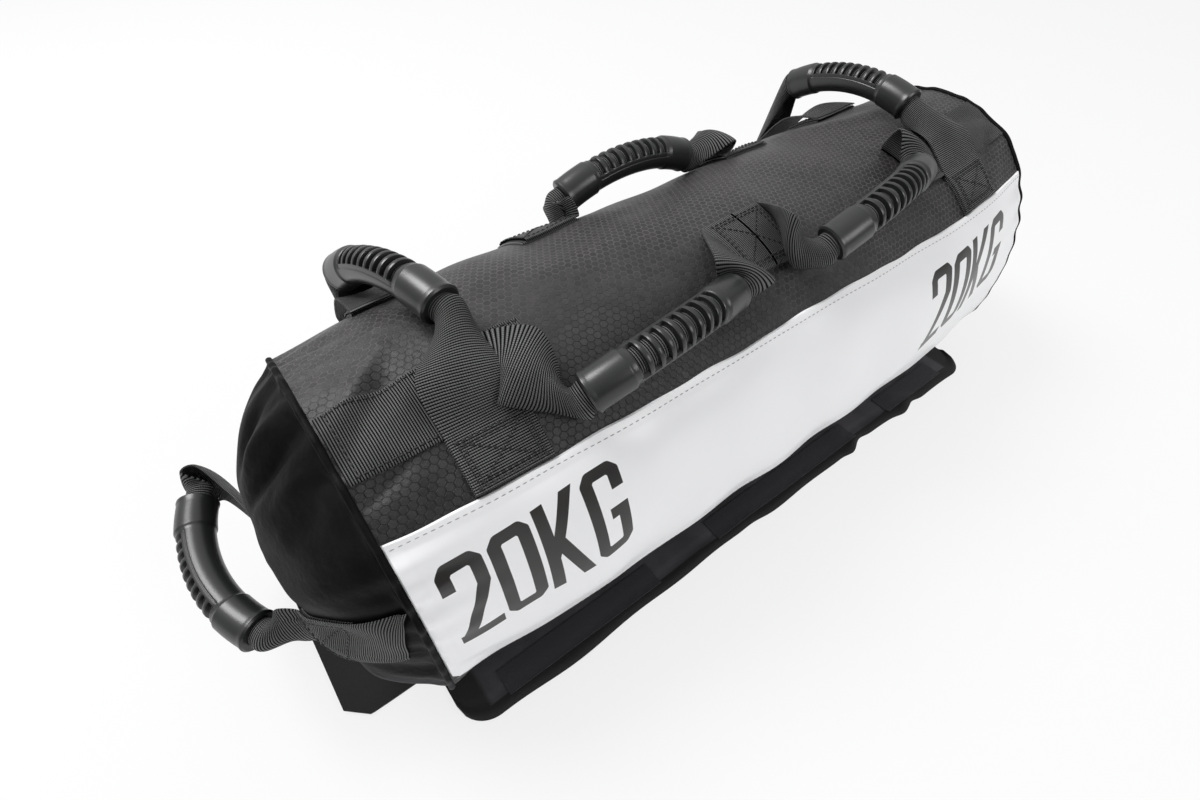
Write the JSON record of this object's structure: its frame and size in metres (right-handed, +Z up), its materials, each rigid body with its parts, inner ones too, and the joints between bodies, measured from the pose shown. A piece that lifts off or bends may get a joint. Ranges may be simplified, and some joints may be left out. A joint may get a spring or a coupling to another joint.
{
  "type": "sandbag trainer",
  "caption": "Filled cylindrical training bag on a flat base, with webbing loops and rubber grips round it, a plain white band and a zip under a folding closure flap.",
  "frame": {"origin": "middle of the underside, on the surface the bag rests on", "axes": "+X along the bag towards its right end as seen from the white band's side, +Y away from the white band, +Z up"},
  "size_m": [0.672, 0.2195, 0.2262],
  "materials": {
    "bag_cloth": "charcoal ripstop nylon with a faint honeycomb grid, satin",
    "base_cloth": "plain matt black coated cloth",
    "white_band": "smooth white coated cloth, glossy",
    "webbing": "charcoal ribbed webbing, matt",
    "grip_rubber": "moulded charcoal rubber, satin",
    "hook_and_loop": "dark fuzzy hook-and-loop tape",
    "zip_plastic": "black moulded plastic",
    "zip_metal": "plain metal",
    "filler_cloth": "pale woven liner",
    "sand": "dry sand"
  },
  "bodies": {
    "bag": {"bag_body": "bag_cloth", "end_cap_left": "bag_cloth", "end_cap_right": "bag_cloth", "end_piping_left": "bag_cloth", "end_piping_right": "bag_cloth", "front_band": "white_band", "hook_tape_left": "hook_and_loop", "hook_tape_centre": "hook_and_loop", "hook_tape_right": "hook_and_loop", "zip_tape_upper": "base_cloth", "zip_tape_lower": "base_cloth", "zip_teeth_upper": "zip_plastic", "zip_teeth_lower": "zip_plastic", "zip_stop_left": "zip_metal", "zip_stop_right": "zip_metal", "base_panel": "base_cloth", "cross_strap_left_front": "webbing", "cross_strap_left_back": "webbing", "cross_strap_right_front": "webbing", "cross_strap_right_back": "webbing", "long_strap_left": "webbing", "long_strap_centre": "webbing", "long_strap_right": "webbing", "back_strap_left": "webbing", "back_strap_right": "webbing", "end_foot_left_front": "webbing", "end_foot_left_back": "webbing", "end_foot_right_front": "webbing", "end_foot_right_back": "webbing", "filler_bag_left": "filler_cloth", "filler_bag_right": "filler_cloth", "sand_left": "sand", "sand_right": "sand", "filler_tie_left": "zip_plastic", "filler_tie_right": "zip_plastic"},
    "left_cross_handle": {"left_cross_handle_strap": "webbing", "left_cross_handle_grip": "grip_rubber"},
    "right_cross_handle": {"right_cross_handle_strap": "webbing", "right_cross_handle_grip": "grip_rubber"},
    "front_left_handle": {"front_left_handle_strap": "webbing", "front_left_handle_grip": "grip_rubber"},
    "front_right_handle": {"front_right_handle_strap": "webbing", "front_right_handle_grip": "grip_rubber"},
    "back_handle": {"back_handle_strap": "webbing", "back_handle_grip": "grip_rubber"},
    "left_end_handle": {"left_end_handle_strap": "webbing", "left_end_handle_grip": "grip_rubber"},
    "right_end_handle": {"right_end_handle_strap": "webbing", "right_end_handle_grip": "grip_rubber"},
    "flap_root": {"closure_flap_root": "base_cloth"},
    "flap": {"closure_flap": "base_cloth", "loop_tape_left": "hook_and_loop", "loop_tape_centre": "hook_and_loop", "loop_tape_right": "hook_and_loop"},
    "slider": {"zip_slider": "zip_metal"},
    "pull": {"zip_pull": "zip_metal"}
  },
  "joints": [
    {"name": "left_cross_handle_swing", "type": "hinge", "parent": "bag", "child": "left_cross_handle", "pos_m": [-0.184, 0, 0.18867], "axis": [0, 1, 0], "range_deg": [-18, 14], "deforming": ["left_cross_handle_strap"]},
    {"name": "right_cross_handle_swing", "type": "hinge", "parent": "bag", "child": "right_cross_handle", "pos_m": [0.184, 0, 0.19123], "axis": [0, 1, 0], "range_deg": [-18, 18], "deforming": ["right_cross_handle_strap"]},
    {"name": "front_left_handle_swing", "type": "hinge", "parent": "bag", "child": "front_left_handle", "pos_m": [-0.0825, -0.03459, 0.19768], "axis": [1, 0, 0], "range_deg": [-140, 2], "deforming": ["front_left_handle_strap"]},
    {"name": "front_right_handle_swing", "type": "hinge", "parent": "bag", "child": "front_right_handle", "pos_m": [0.0825, -0.03459, 0.1977], "axis": [1, 0, 0], "range_deg": [-80, 14], "deforming": ["front_right_handle_strap"]},
    {"name": "back_handle_swing", "type": "hinge", "parent": "bag", "child": "back_handle", "pos_m": [0, 0.06682, 0.18252], "axis": [1, 0, 0], "range_deg": [-45, 30], "deforming": ["back_handle_strap"]},
    {"name": "left_end_handle_swing", "type": "hinge", "parent": "bag", "child": "left_end_handle", "pos_m": [-0.29324, 0, 0.085], "axis": [0, 1, 0], "range_deg": [-50, 50], "deforming": ["left_end_handle_strap"]},
    {"name": "right_end_handle_swing", "type": "hinge", "parent": "bag", "child": "right_end_handle", "pos_m": [0.29331, 0, 0.085], "axis": [0, 1, 0], "range_deg": [-50, 50], "deforming": ["right_end_handle_strap"]},
    {"name": "flap_root_fold", "type": "hinge", "parent": "bag", "child": "flap_root", "pos_m": [0, -0.0494, 0.00105], "axis": [-1, 0, 0], "range_deg": [0, 26]},
    {"name": "flap_fold", "type": "hinge", "parent": "flap_root", "child": "flap", "pos_m": [0, -0.07685, 0.00105], "axis": [-1, 0, 0], "range_deg": [0, 20]},
    {"name": "zip_run", "type": "slide", "parent": "bag", "child": "slider", "axis": [1, 0, 0], "range_m": [-0.26, 0]},
    {"name": "zip_pull_swing", "type": "hinge", "parent": "slider", "child": "pull", "pos_m": [0.1302, -0.07803, 0.01971], "axis": [0, 0.7216, -0.6923], "range_deg": [-100, 0]}
  ],
  "couplings": [
    {"joint": "flap_fold", "follows": "flap_root_fold", "ratio": 0.75}
  ]
}
